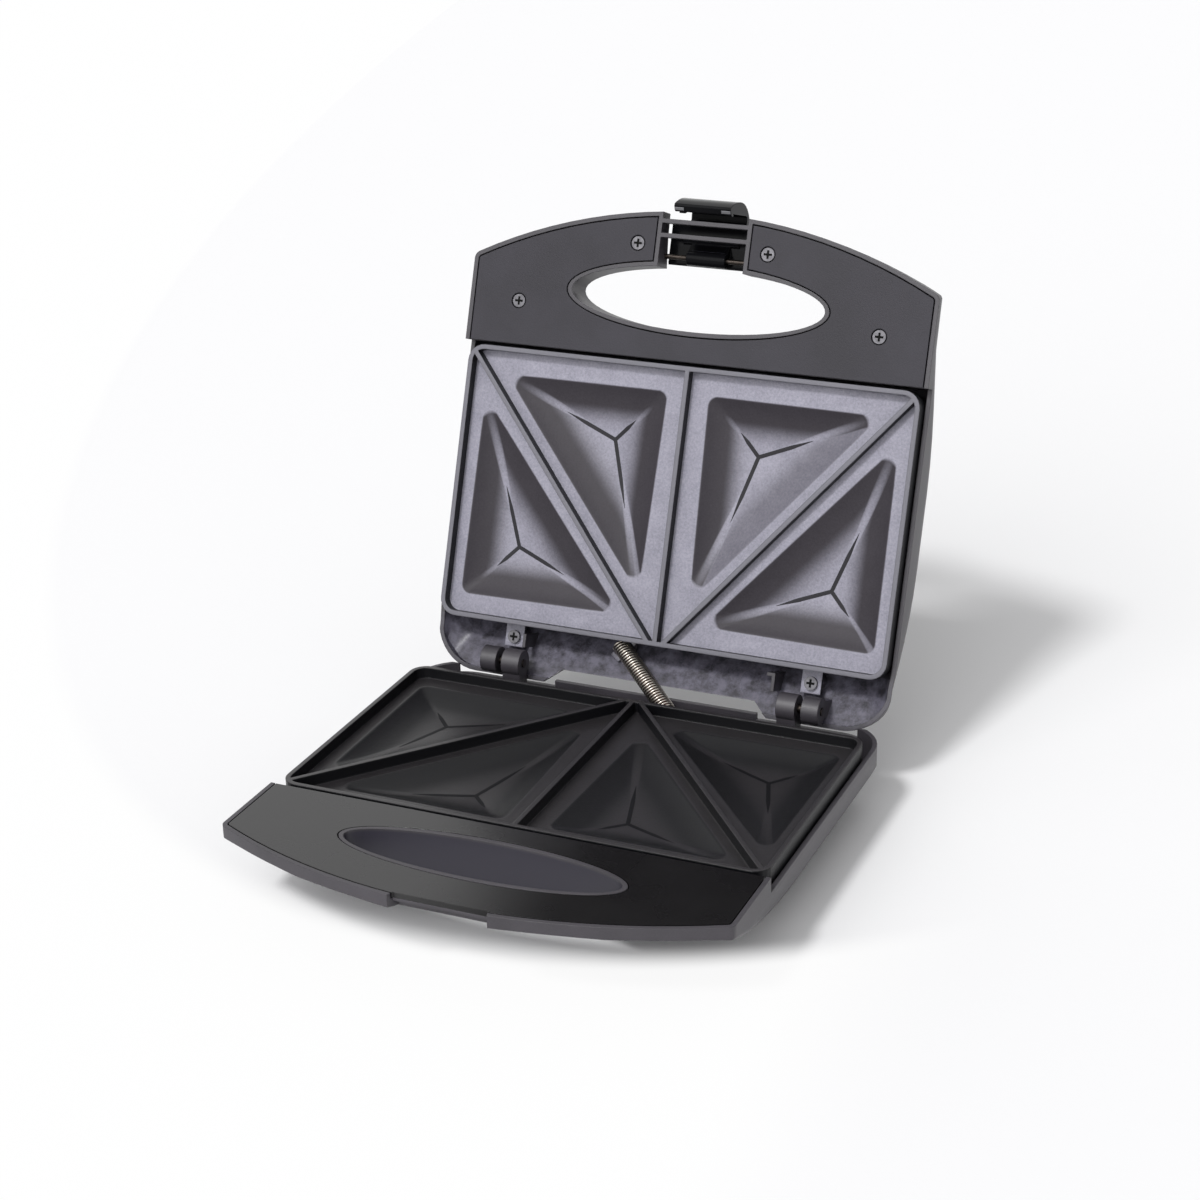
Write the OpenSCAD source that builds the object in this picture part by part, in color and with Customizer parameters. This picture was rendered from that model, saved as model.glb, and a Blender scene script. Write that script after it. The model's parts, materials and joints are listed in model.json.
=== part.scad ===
// Two-slice sandwich toaster with a hinged lid, drawn open on its feet.
// Each half is drawn in its own half frame: y = 0 at the plates' front edge,
// z = 0 on the closing plane and +z away from it. The lower half is mirrored.

/* [Plates] */
// Width of a cooking plate over its raised rim
plate_w = 223.6; // [200:0.2:240]
// Depth of a cooking plate, front to back
plate_d = 130.4; // [120:0.2:140]
// Corner radius of a plate
plate_corner_r = 8; // [5:0.5:12]
// Width of the sealing rim round a plate
rim_w = 2.2; // [1.6:0.1:3]
// Width of the cutting ribs between the pockets
rib_w = 2.2; // [1.6:0.1:3]
// Depth of the flat land below the sealing rim
land_depth = 5.5; // [4:0.1:7]
// Depth of a pocket below the land
pocket_depth = 6; // [4:0.1:8]
// Thickness of the cast plate
plate_wall = 2.2; // [1.8:0.1:2.8]
// Depth of the plate's outer skirt
skirt_depth = 10; // [8:0.2:11]

/* [Housings] */
// Width of the housings and the handles
housing_w = 229; // [228.6:0.2:234]
// Wall of the moulded housings
wall = 2; // [1.6:0.1:2.3]
// Depth of the upper housing at its middle
upper_h = 37; // [34:0.5:42]
// Depth of the lower housing at its middle
lower_h = 38; // [35:0.5:42]
// Height of the upper housing's rear lip above its rim
lip_h = 2; // [1.5:0.1:3]
// Step of the housing rims below the closing plane beside the plates
rim_step = 7.2; // [6.6:0.1:8]
// Housing behind the plates' rear edge
rear_reach = 25.6; // [25:0.2:27]
// Plan radius of the rear corners
rear_corner_r = 22.5; // [18:0.5:26]
// Radius of the long edges of the upper housing
upper_edge_r = 18; // [14:0.5:20]
// Radius of the long edges of the lower housing
lower_edge_r = 28; // [24:0.5:29]
// Radius of the bottom edge along the lower housing's back
lower_back_r = 12; // [8:0.5:14]

/* [Handles] */
// Reach of the handles in front of the plates, at the middle
handle_reach = 70.6; // [68:0.2:76]
// Reach of the handles' outer corners
corner_reach = 42.8; // [38:0.2:46]
// Plan radius of the handles' outer corners
front_corner_r = 4; // [3:0.5:6]
// Thickness of the upper handle at its front edge
upper_handle_h = 9; // [8:0.5:11]
// Thickness of the lower handle at its front edge
lower_handle_h = 5.5; // [5:0.5:7]
// Height of the straight part of the lower housing's sides
lower_side_h = 10; // [8:0.5:11]
// Depth of the ledge that the catches hook under
ledge_z = 4.2; // [3.8:0.1:4.3]
// Thickness of a handle cover
cover_t = 2.4; // [2:0.1:3]
// Gap between the cover's rear edge and the plates
cover_back_gap = 1.7; // [1.4:0.1:2.5]
// Half width of the oval grip opening
oval_a = 62.5; // [56:0.5:66]
// Half depth of the oval grip opening
oval_b = 14.8; // [13:0.1:16]
// Middle of the oval behind the handle's front edge
oval_inset = 40; // [39.4:0.1:40.6]
// Collar round the oval
collar_w = 2.1; // [1.8:0.1:2.5]

/* [Hinge] */
// Hinge axis behind the plates' rear edge
hinge_back = 17.8; // [17.6:0.1:18.4]
// Angle of the lid when it is open on its stop
open_angle = 110.5; // [100:0.5:110.5]
// Radius of the hinge knuckles
knuckle_r = 6.3; // [5:0.1:6.5]
// Radius of the hinge pins
hinge_pin_r = 2; // [1.5:0.1:2.5]
// Inner end of the base knuckles from the middle
knuckle_x = 64.5; // [62:0.5:68]
// Length of a base knuckle
base_knuckle_l = 9; // [8:0.5:10]
// Length of a lid knuckle
lid_knuckle_l = 8; // [7:0.5:10]
// Gap between a base knuckle and its lid knuckle
knuckle_gap = 3; // [2:0.5:4]

/* [Latch] */
// Latch pivot behind the handle's front edge
latch_inset = 20.6; // [20.1:0.1:21.1]
// Latch pivot above the closing plane
latch_z = 9; // [8.8:0.1:9.4]
// Half width of the latch
latch_half_w = 13.8; // [12:0.2:16]
// Half width of the gap that the latch sits in
latch_gap_half_w = 21; // [19:0.5:24]
// Inner radius of the hook about its pivot
hook_r = 23.5; // [23.4:0.1:24.5]
// Thickness of the hook
hook_t = 4; // [3:0.1:5]
// Turn of the latch from released to hooked
latch_travel = 22; // [20:0.5:23]
// Radius of the latch barrel
barrel_r = 3.4; // [3:0.1:3.8]
// Half length of the latch barrel
barrel_half_l = 9.5; // [7:0.5:12]
// Radius of the latch pin
latch_pin_r = 1.2; // [1:0.1:1.5]

/* [Conduit] */
// Outer radius of the conduit spring
conduit_r = 4.3; // [3.6:0.1:4.5]
// Wire thickness of the conduit spring
wire_d = 0.85; // [0.7:0.05:0.9]
// Pitch of the conduit spring
conduit_pitch = 1.32; // [1.3:0.01:1.6]
// Turns of the conduit spring
conduit_turns = 37; // [30:1:40]
// Radius of one insulated lead
lead_r = 1.2; // [0.9:0.1:1.3]

/* [Inside] */
// Radius of a heater tube
heater_r = 3.3; // [2.8:0.1:3.5]
// Thickness of a reflector sheet
reflector_t = 0.8; // [0.5:0.1:1.2]
// Width of a reflector
reflector_w = 196; // [180:1:200]
// Radius of the cord inlet's bush
gland_r = 5.5; // [5:0.1:6.5]
// Radius of a lamp lens
lens_r = 4.5; // [3.5:0.1:6]

/* [Feet] */
// Height of the feet
foot_h = 4; // [3:0.5:6]
// Radius of the feet
foot_r = 7.5; // [6:0.5:9]

/* [Clearances] */
// Gap of each half from the closing plane
face_gap = 0.25; // [0.2:0.05:0.4]
// Gap between a fixed piece and its seat
seat_gap = 0.2; // [0.1:0.05:0.3]
// Radial clearance of a turning pin
run_gap = 0.05; // [0.02:0.01:0.08]

// Gap round a handle cover
cover_gap = 0.6; // [0.3:0.1:0.8]

/* [Hidden] */

round_fn = 48;
fine_fn = 96;

// Plan of the housings and handles
half_w = housing_w / 2;
rear_y = plate_d + rear_reach;
sagitta = handle_reach - corner_reach;
front_r = (half_w * half_w + sagitta * sagitta) / (2 * sagitta);
front_cy = front_r - handle_reach;
arc_steps = 24;
corner_steps = 6;
rear_steps = 10;

// Profile of the housings, from the handle's front edge to the back
rise_y = 45;
fall_y = 80;
profile_front = -handle_reach - 1;
deep = upper_h + lower_h;

// Middle of the oval and latch pivot, in front of the plates
oval_reach = handle_reach - oval_inset;
latch_reach = handle_reach - latch_inset;

// Hinge
hinge_y = plate_d + hinge_back;
open_c = cos(open_angle);
open_s = sin(open_angle);
lid_knuckle_x = knuckle_x + base_knuckle_l + knuckle_gap;
lip_y = rear_y - hinge_y;
lip_swing_r = norm([lip_y, rim_step + lip_h]);
rear_rim_y = hinge_y + (rim_step - 2 * face_gap + rim_step * open_c) / open_s - 0.5;
rear_rim_z = sqrt(pow(lip_swing_r + 1, 2) - pow(rear_rim_y - hinge_y, 2));
arm_front = 4.7;
arm_back = 3.3;
tongue_half_w = 51;
tongue_z = 9.4;
lip_notch_y = rear_y - 6.7;
lip_notch_half_w = 48.5;
lip_notch_flare = 9;

// Latch, as angles about its pivot measured from +y towards +z
elbow_angle = 147;
nose_angle = 212;
catch_angle = 203;
catch_half_t = 1;
catch_reach = 1.8;
catch_x = 11.4;
catch_half_l = 1.5;
lever_back_drop = 3.8;
neck_r = 7.5;
end_wall_t = 1.2;
lever_z = 3.3;
lever_back = 2.2;
latch_bar_t = 2;
latch_bar_h = 5;
front_bar_y = -latch_reach - 16.6;
second_bar_y = -latch_reach - 9;
notch_back_y = -latch_reach - 16.5;
notch_flare = 1.5;
hook_pocket_y = -latch_reach - 12.3;
hook_block_y = -latch_reach - 9;

// Resting surface and middle of the whole, front to back
close_z = lower_h + foot_h;
front_edge_y = -handle_reach + front_r - sqrt(front_r * front_r - pow(latch_gap_half_w, 2));
latch_back_y = hinge_y + open_c * (-latch_reach - hinge_y) + open_s * latch_z
  + outer_r(elbow_angle) * cos(elbow_angle - open_angle);
mid_y = (front_edge_y + latch_back_y) / 2;

// Pockets: corners and lowest point, for the right-hand half of a plate
pocket_corner_r = 3.8;
pocket_corner_steps = 3;
pocket_curve = 0.75;
pocket_rings = [1, 0.9, 0.78, 0.6, 0.4, 0.2];
outer_pocket = [[plate_w / 2 - 9.1, 24.5], [plate_w / 2 - 8.2, plate_d - 11.2], [21.5, plate_d - 12.2]];
outer_apex = [plate_w / 2 - 32.8, plate_d - 35.9];
inner_pocket = [[10.5, 12.6], [plate_w / 2 - 19.3, 13], [13.1, plate_d - 23.1]];
inner_apex = [36, 37.6];
pocket_back = land_depth + pocket_depth + plate_wall;

// Rear tabs that hold the plates
tab_x = 75;
tab_y = plate_d + 6.6;
tab_z = 10;
tab_t = 1.6;
tab_half = 4.8;
tab_hole_r = 1.7;
plate_screw_l = 8.6;
boss_r = 4.6;

// Small lugs on the lid's roof, between the conduit and the hinges
lug_x = 58.5;
lug_t = 1.6;
lug_z = 4;

// Cover screws, on the upper cover's face and under the lower handle
cover_screws = [[32, 16.3 - handle_reach], [half_w - 25.5, 48.3 - handle_reach]];
screw_head_r = 3.1;
screw_head_h = 1.6;
screw_shank_r = 1.4;
screw_pocket_r = 3.7;
upper_screw_z = face_gap + 0.2;

// Heater and reflector
heater_z = pocket_back + seat_gap + heater_r;
heater_front_y = 42;
heater_back_y = plate_d - 34.4;
heater_left_x = 51.8 - plate_w / 2;
heater_right_x = plate_w / 2 - 27.8;
cold_pin_r = 1.4;
cold_pin_l = 8;
reflector_z = heater_z + heater_r + 0.4;
reflector_front = 14;
reflector_back = plate_d - 10.4;
post_x = 60;
post_y = (heater_front_y + heater_back_y) / 2;
post_r = 4;

// Feet
foot_x = 80;
foot_ys = [52, rear_y - 18];
stem_r = 3;

// Conduit: its ends on the base and on the open lid
conduit_base = [12, plate_d + 13.6, -12];
conduit_lid = [-20, plate_d + 4.6, 13];
socket_l = 5;
socket_w = 1.8;
conduit_rings = 8;
conduit_sides = 6;

// Cord inlet and terminals
gland_x = 30;
gland_z = 20.5;
gland_flange = 1.6;
gland_bore_r = 3.3;
terminal_x = 30;
terminal_y = rear_y - lower_back_r - 16;
terminal_size = [26, 12, 11];

// Thermostat and fuse on the upper plate's back, between the heater's legs
thermostat_y = 66;
fuse_y = 78;
fuse_l = 12;
fuse_wire_l = 8;

// Lamps on the lid
lens_x = 14;
lens_y = 14;
lens_wall = 1.2;
lens_len = 9;
neon_r = 2.6;
neon_len = 8;

function smooth(t) = let (u = min(1, max(0, t))) u * u * (3 - 2 * u);

// Rise of the lower handle's underside, steep at the front and level at the end
function rise(t) = let (u = min(1, max(0, t))) 0.3 * smooth(u) + 0.7 * sin(90 * u);

// Depth of the upper housing at y
function upper_profile(y) = y < fall_y
  ? upper_handle_h + (upper_h - upper_handle_h)
    * smooth((y - profile_front) / (rise_y - profile_front))
  : rim_step + lip_h + (upper_h - rim_step - lip_h) * cos(90 * (y - fall_y) / (rear_y - fall_y));

// Depth of the lower housing at y
function lower_profile(y) = y < rear_y - lower_back_r
  ? lower_handle_h + (lower_h - lower_handle_h)
    * rise((y - profile_front) / (rise_y - profile_front))
  : lower_h - lower_back_r
    + sqrt(max(0, pow(lower_back_r, 2) - pow(y - rear_y + lower_back_r, 2)));

function profile(upper, y) = upper ? upper_profile(y) : lower_profile(y);
function edge_r(upper, y, inset) =
  let (h = profile(upper, y))
  (upper ? min(upper_edge_r, h - 3) : min(lower_edge_r, max(h / 4, h - lower_side_h))) - inset;

// Share of the front arc's set-back that a section of the lower housing follows at x
function bend_share(x) =
  (front_cy - sqrt(front_r * front_r - x * x) + handle_reach) / (rise_y - profile_front);

// Place of a section's point: in front of rise_y the lower housing's sections follow the front arc
function bent_y(upper, x, y) = upper || y > rise_y ? y : y + bend_share(x) * (rise_y - y);

// Depth of the lower housing's underside at a point away from its sides
function lower_depth(p) =
  let (k = bend_share(p[0]))
  lower_profile(p[1] < rise_y ? (p[1] - k * rise_y) / (1 - k) : p[1]);

// Stations of the loft: closer together where the profile turns
function stations(upper) = concat(
  [for (i = [0 : 9]) profile_front + (rise_y - profile_front) * i / 9],
  [for (y = [rise_y + 17 : 17.5 : fall_y + 1]) y],
  upper
    ? [for (i = [1 : 7]) fall_y + (rear_y - fall_y) * i / 7]
    : [for (a = [0 : 15 : 90]) rear_y - lower_back_r + lower_back_r * sin(a)]
);

// Half-open section, from the left rim over the roof to the right rim
function section(upper, y, inset) =
  let (
    h = profile(upper, y) - inset,
    r = max(0.5, edge_r(upper, y, inset)),
    w = half_w - inset,
    steps = 5
  )
  concat(
    [[-w, 0]],
    [for (i = [0 : steps]) [-w + r - r * cos(90 * i / steps), h - r + r * sin(90 * i / steps)]],
    [for (i = [1 : 4]) [(w - r) * (0.4 * i - 1), h]],
    [for (i = [0 : steps]) [w - r + r * sin(90 * i / steps), h - r + r * cos(90 * i / steps)]],
    [[w, 0]],
    [for (i = [1 : 4]) [w * (1 - 0.4 * i), 0]]
  );

// Closed body through the sections, flat on the closing plane
module loft(upper, inset) {
  ys = stations(upper);
  rows = concat(
    [[for (q = section(upper, ys[0], inset)) [q[0], ys[0] - 1, q[1]]]],
    [for (y = ys) [for (q = section(upper, y, inset)) [q[0], bent_y(upper, q[0], y), q[1]]]]
  );
  n = len(rows[0]);
  m = len(rows);
  points = [for (row = rows) for (p = row) p];
  sides = [
    for (i = [0 : m - 2]) for (j = [0 : n - 1])
      let (a = i * n + j, b = i * n + (j + 1) % n, c = a + n, d = b + n)
      each [[a, c, b], [b, c, d]]
  ];
  front_cap = [[for (j = [0 : n - 1]) j]];
  back_cap = [[for (j = [n - 1 : -1 : 0]) (m - 1) * n + j]];
  polyhedron(points, concat(sides, front_cap, back_cap), convexity = 6);
}

// Plan of the housing, set in by d on every side
function plan(d) =
  let (
    w = half_w - d,
    big = front_r - d,
    r = front_corner_r - min(d, front_corner_r - 0.8),
    fx = w - r,
    fy = front_cy - sqrt(pow(big - r, 2) - fx * fx),
    end_a = atan2(fy - front_cy, fx),
    rr = rear_corner_r - d,
    ry = rear_y - d - rr
  )
  concat(
    [for (i = [0 : arc_steps]) let (a = -180 - end_a + (2 * end_a + 180) * i / arc_steps)
      [big * cos(a), front_cy + big * sin(a)]],
    [for (i = [1 : corner_steps]) let (a = end_a * (1 - i / corner_steps))
      [fx + r * cos(a), fy + r * sin(a)]],
    [for (i = [0 : rear_steps]) let (a = 90 * i / rear_steps)
      [w - rr + rr * cos(a), ry + rr * sin(a)]],
    [for (i = [0 : rear_steps]) let (a = 90 + 90 * i / rear_steps)
      [-w + rr + rr * cos(a), ry + rr * sin(a)]],
    [for (i = [0 : corner_steps - 1]) let (a = 180 - end_a * i / corner_steps)
      [-fx + r * cos(a), fy + r * sin(a)]]
  );

function oval(a, b) = [for (t = [0 : 6 : 354]) [a * cos(t), -oval_reach + b * sin(t)]];

module plan_solid(d, z0, z1) {
  translate([0, 0, z0]) linear_extrude(z1 - z0) polygon(plan(d));
}

module oval_solid(grow, z0, z1) {
  translate([0, 0, z0]) linear_extrude(z1 - z0) polygon(oval(oval_a + grow, oval_b + grow));
}

module box(x0, x1, y0, y1, z0, z1) {
  translate([x0, y0, z0]) cube([x1 - x0, y1 - y0, z1 - z0]);
}

module both_sides() {
  children();
  mirror([1, 0, 0]) children();
}

// Places a half-frame piece on the lid, which stands open
module on_lid() {
  translate([0, hinge_y - mid_y, close_z]) rotate([-open_angle, 0, 0])
    translate([0, -hinge_y, 0]) children();
}

// Places a half-frame piece on the base
module on_base() {
  translate([0, -mid_y, close_z]) mirror([0, 0, 1]) children();
}

module rounded_rect(w, d, r, z0, z1) {
  translate([0, 0, z0]) linear_extrude(z1 - z0) polygon([
    for (k = [0 : 3]) for (i = [0 : 6])
      let (a = 90 * k + 15 * i)
      [(k == 0 || k == 3 ? 1 : -1) * (w / 2 - r) + r * cos(a),
       (k < 2 ? d - r : r) + r * sin(a)]
  ]);
}

// Screw standing with its head at z = 0 and its shank along +z
module cross_screw(length) {
  difference() {
    union() {
      cylinder(h = screw_head_h, r = screw_head_r, $fn = round_fn);
      cylinder(h = length, r = screw_shank_r, $fn = round_fn);
    }
    for (a = [0, 90]) rotate([0, 0, a])
      translate([-2, -0.4, -1]) cube([4, 0.8, 2]);
  }
}

// Housing shell with its rim step, oval collar and cross wall
module shell(upper) {
  difference() {
    intersection() {
      loft(upper, 0);
      plan_solid(0, face_gap, deep);
    }
    difference() {
      intersection() {
        loft(upper, wall);
        plan_solid(wall, -2, deep);
      }
      oval_solid(collar_w, -3, deep);
      box(-half_w, half_w, -cover_back_gap - wall, -cover_back_gap,
        cover_t + seat_gap + face_gap, deep);
      if (upper) latch_walls();
      else box(-latch_gap_half_w - wall, latch_gap_half_w + wall, -handle_reach, hook_block_y,
        -3, deep);
    }
    oval_solid(0, -3, deep);
    // Room for the cover
    intersection() {
      plan_solid(wall, -1, cover_t + face_gap + seat_gap);
      box(-half_w, half_w, -handle_reach, -cover_back_gap, -1, deep);
      difference() {
        plan_solid(wall, -1, deep);
        oval_solid(collar_w, -2, deep);
        if (upper) box(-latch_gap_half_w - wall, latch_gap_half_w + wall,
          -handle_reach, -oval_reach, -2, deep);
      }
    }
    // Step of the rim beside and behind the plates
    box(-half_w - 1, half_w + 1, -cover_back_gap, rear_y + 1, -1, rim_step);
    if (upper) {
      // Gap for the latch, through the handle between its bars
      box(-latch_gap_half_w, latch_gap_half_w, -handle_reach - 1, front_bar_y, -1, deep);
      box(-latch_gap_half_w, latch_gap_half_w, -handle_reach - 1, -oval_reach - oval_b + 1,
        latch_bar_h, deep);
      for (bar = [[front_bar_y + latch_bar_t, second_bar_y - latch_bar_t / 2],
                  [second_bar_y + latch_bar_t / 2, -oval_reach - oval_b + 1]])
        box(-latch_gap_half_w, latch_gap_half_w, bar[0], bar[1], -1, deep);
      // Notch in the rear lip for the base's tongue
      translate([0, 0, -1]) linear_extrude(deep) polygon([
        [-lip_notch_half_w, lip_notch_y], [lip_notch_half_w, lip_notch_y],
        [lip_notch_half_w + lip_notch_flare, rear_y + 1],
        [-lip_notch_half_w - lip_notch_flare, rear_y + 1]
      ]);
    } else {
      // Notch in the front edge for the hook, and the pocket under its ledge
      translate([0, 0, -1]) linear_extrude(deep) polygon([
        [-latch_gap_half_w, notch_back_y], [latch_gap_half_w, notch_back_y],
        [latch_gap_half_w + notch_flare, -handle_reach - 1],
        [-latch_gap_half_w - notch_flare, -handle_reach - 1]
      ]);
      box(-latch_gap_half_w, latch_gap_half_w, -handle_reach, hook_pocket_y, ledge_z, deep);
      // Rear rim, lower than the path of the lid's lip
      difference() {
        box(-half_w, half_w, rear_rim_y, rear_y + 1, -1, rear_rim_z);
        box(-tongue_half_w, tongue_half_w, rear_y - wall - 0.2, rear_y + 1, tongue_z, deep);
      }
    }
  }
}

// Side walls of the latch gap
module latch_walls() {
  for (s = [-1, 1])
    box(min(s * latch_gap_half_w, s * (latch_gap_half_w + wall)),
      max(s * latch_gap_half_w, s * (latch_gap_half_w + wall)),
      -handle_reach - 1, -oval_reach - oval_b, -1, deep);
  box(-latch_gap_half_w, latch_gap_half_w, front_bar_y, front_bar_y + latch_bar_t, -1, deep);
  box(-latch_gap_half_w, latch_gap_half_w, second_bar_y - latch_bar_t / 2,
    second_bar_y + latch_bar_t / 2, -1, deep);
}

// Posts, screw bosses and ribs inside a housing, up to its roof
module inner_posts(upper) {
  intersection() {
    both_sides() {
      translate([post_x, post_y, reflector_z + reflector_t + seat_gap])
        cylinder(h = deep, r = post_r, $fn = round_fn);
      difference() {
        translate([tab_x, tab_y, tab_z + tab_t])
          cylinder(h = deep, r = boss_r, $fn = round_fn);
        translate([tab_x, tab_y, tab_z])
          cylinder(h = plate_screw_l, r = screw_shank_r, $fn = round_fn);
      }
      for (p = cover_screws) difference() {
        translate([p[0], p[1], cover_t + face_gap + seat_gap])
          cylinder(h = deep, r = boss_r, $fn = round_fn);
        translate([p[0], p[1], -1])
          cylinder(h = upper ? 10 : deep, r = screw_shank_r + (upper ? 0 : run_gap), $fn = round_fn);
      }
    }
    loft(upper, wall / 2);
    plan_solid(wall / 2, -1, deep);
  }
}

module knuckle(x0, length, bore_r) {
  difference() {
    union() {
      translate([x0, hinge_y, 0]) rotate([0, 90, 0])
        cylinder(h = length, r = knuckle_r, $fn = fine_fn);
      children();
    }
    translate([x0 - 1, hinge_y, 0]) rotate([0, 90, 0])
      cylinder(h = length + 2, r = bore_r, $fn = fine_fn);
  }
}

// Cradle under one end of the conduit, and the web that carries it
module conduit_socket(centre, direction, web_h) {
  aim = [0, acos(direction[2] / norm(direction)), atan2(direction[1], direction[0])];
  bore_r = conduit_r + 2 * seat_gap;
  difference() {
    union() {
      translate(centre) rotate(aim)
        cylinder(h = socket_l, r = bore_r + socket_w, center = true, $fn = round_fn);
      translate([centre[0] - 2, centre[1] - 2, centre[2]]) cube([4, 4, web_h]);
    }
    translate(centre) rotate(aim)
      cylinder(h = 6 * socket_l, r = bore_r, center = true, $fn = round_fn);
    box(centre[0] - 3 * socket_l, centre[0] + 3 * socket_l,
      centre[1] - 3 * socket_l, centre[1] + 3 * socket_l, 0, centre[2] + 0.5);
  }
}

module lower_housing() {
  color([0.30, 0.28, 0.31]) on_base() {
    difference() {
      union() {
        shell(false);
        inner_posts(false);
        intersection() {
          both_sides() difference() {
            box(knuckle_x, knuckle_x + base_knuckle_l, hinge_y - arm_front, hinge_y + arm_back,
              0, deep);
            translate([0, hinge_y, 0]) rotate([0, 90, 0])
              cylinder(h = half_w, r = knuckle_r - 0.5, $fn = fine_fn);
          }
          loft(false, wall / 2);
        }
        both_sides() knuckle(knuckle_x, base_knuckle_l, hinge_pin_r);
        conduit_socket([conduit_base[0], conduit_base[1], -conduit_base[2]],
          [conduit_dir[0], conduit_dir[1], -conduit_dir[2]], lower_h - 10);
      }
      translate([gland_x, rear_y - 10, gland_z]) rotate([-90, 0, 0])
        cylinder(h = 20, r = gland_r, $fn = round_fn);
      both_sides() for (y = foot_ys)
        translate([foot_x, y, 0]) cylinder(h = deep, r = stem_r, $fn = round_fn);
      both_sides() for (p = cover_screws) translate([p[0], p[1], 0]) {
        cylinder(h = deep, r = screw_shank_r + run_gap, $fn = round_fn);
        translate([0, 0, lower_screw_z(p) - screw_head_h])
          cylinder(h = deep, r = screw_pocket_r, $fn = round_fn);
      }
    }
  }
}

// Place of a lower cover screw's head, a little inside the underside
function lower_screw_z(p) = lower_depth(p) - 1.2;

module upper_housing() {
  color([0.33, 0.31, 0.34]) on_lid() difference() {
    union() {
      shell(true);
      inner_posts(true);
      intersection() {
        both_sides() difference() {
          box(lid_knuckle_x, lid_knuckle_x + lid_knuckle_l, hinge_y - arm_front, hinge_y + arm_back,
            0, deep);
          translate([0, hinge_y, 0]) rotate([0, 90, 0])
            cylinder(h = half_w, r = knuckle_r - 0.5, $fn = fine_fn);
        }
        loft(true, wall / 2);
      }
      both_sides() knuckle(lid_knuckle_x, lid_knuckle_l, hinge_pin_r + run_gap);
      inner_lugs();
      intersection() {
        conduit_socket(conduit_lid, conduit_lid_dir, upper_h);
        union() {
          loft(true, wall / 2);
          box(-40, 40, plate_d + 1, rear_y, 5, 20);
        }
      }
    }
    both_sides() translate([tab_x, tab_y, tab_z])
      cylinder(h = plate_screw_l, r = screw_shank_r, $fn = round_fn);
    both_sides() translate([lens_x, lens_y, 10])
      cylinder(h = deep, r = lens_r, $fn = round_fn);
    both_sides() translate([latch_gap_half_w - 1, -latch_reach, latch_z]) rotate([0, 90, 0])
      cylinder(h = wall + 2, r = latch_pin_r, $fn = round_fn);
  }
}

// Lugs on the lid's roof beside the hinges
module inner_lugs() {
  intersection() {
    union() {
      box(lug_x - lug_t / 2, lug_x + lug_t / 2, plate_d + 4.1, plate_d + 12.6, lug_z, deep);
      box(lug_x - 2 * lug_t, lug_x + lug_t / 2, plate_d + 4.1, plate_d + 5.7, lug_z, deep);
      box(-lug_x - 9.5, -lug_x - 8, plate_d + 4.1, plate_d + 10.6, lug_z, deep);
    }
    loft(true, wall / 2);
  }
}

// Handle cover in the half frame
module handle_cover(upper) {
  z0 = face_gap;
  z1 = face_gap + cover_t;
  gap = upper ? latch_gap_half_w + wall + cover_gap : latch_gap_half_w;
  difference() {
    union() {
      intersection() {
        plan_solid(wall + cover_gap, z0, z1);
        box(-half_w, half_w, -handle_reach - 1, -cover_back_gap - seat_gap, -1, 10);
      }
      if (!upper) both_sides() for (p = cover_screws) translate([p[0], p[1], z1 - 0.5])
        cylinder(h = 0.5 + seat_gap, r = boss_r, $fn = round_fn);
    }
    if (!upper) both_sides() for (p = cover_screws) translate([p[0], p[1], z1 - 0.8])
      cylinder(h = 4, r = screw_shank_r, $fn = round_fn);
    oval_solid(collar_w + cover_gap, -1, 10);
    box(-gap, gap, -handle_reach - 2, upper ? -oval_reach : notch_back_y, -1, 10);
    if (upper) both_sides() for (p = cover_screws) translate([p[0], p[1], 0]) {
      cylinder(h = 10, r = screw_shank_r + run_gap, $fn = round_fn);
      translate([0, 0, -1]) cylinder(h = 1 + upper_screw_z + screw_head_h, r = screw_pocket_r,
        $fn = round_fn);
    }
  }
}

module lower_handle_cover() {
  color([0.26, 0.25, 0.27]) on_base() handle_cover(false);
}

module upper_handle_cover() {
  color([0.35, 0.33, 0.37]) on_lid() handle_cover(true);
}

module upper_cover_screws() {
  color([0.75, 0.75, 0.77]) on_lid() both_sides() for (p = cover_screws)
    translate([p[0], p[1], upper_screw_z]) cross_screw(8.5 - upper_screw_z);
}

module lower_cover_screws() {
  color([0.75, 0.75, 0.77]) on_base() both_sides() for (p = cover_screws)
    translate([p[0], p[1], lower_screw_z(p)]) mirror([0, 0, 1])
      cross_screw(lower_screw_z(p) - cover_t - face_gap + 0.6);
}

// Border of a pocket: the triangle, grown by d, with its corners rounded
function pocket_border(triangle, d) = [
  for (k = [0 : 2])
    let (
      p = triangle[k],
      u = (triangle[(k + 1) % 3] - p) / norm(triangle[(k + 1) % 3] - p),
      v = (triangle[(k + 2) % 3] - p) / norm(triangle[(k + 2) % 3] - p),
      half = acos(u * v) / 2,
      mid = (u + v) / norm(u + v),
      r = pocket_corner_r + d,
      centre = p + pocket_corner_r / sin(half) * mid,
      a0 = atan2(-mid[1], -mid[0])
    )
    for (i = [-pocket_corner_steps : pocket_corner_steps])
      let (a = a0 + (90 - half) * i / pocket_corner_steps)
      centre + r * [cos(a), sin(a)]
];

// Share of a pocket's depth at the scale t of its border
function pocket_share(t) = (1 - pocket_curve) * (1 - t) + pocket_curve * (1 - pow(t, 3));

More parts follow.
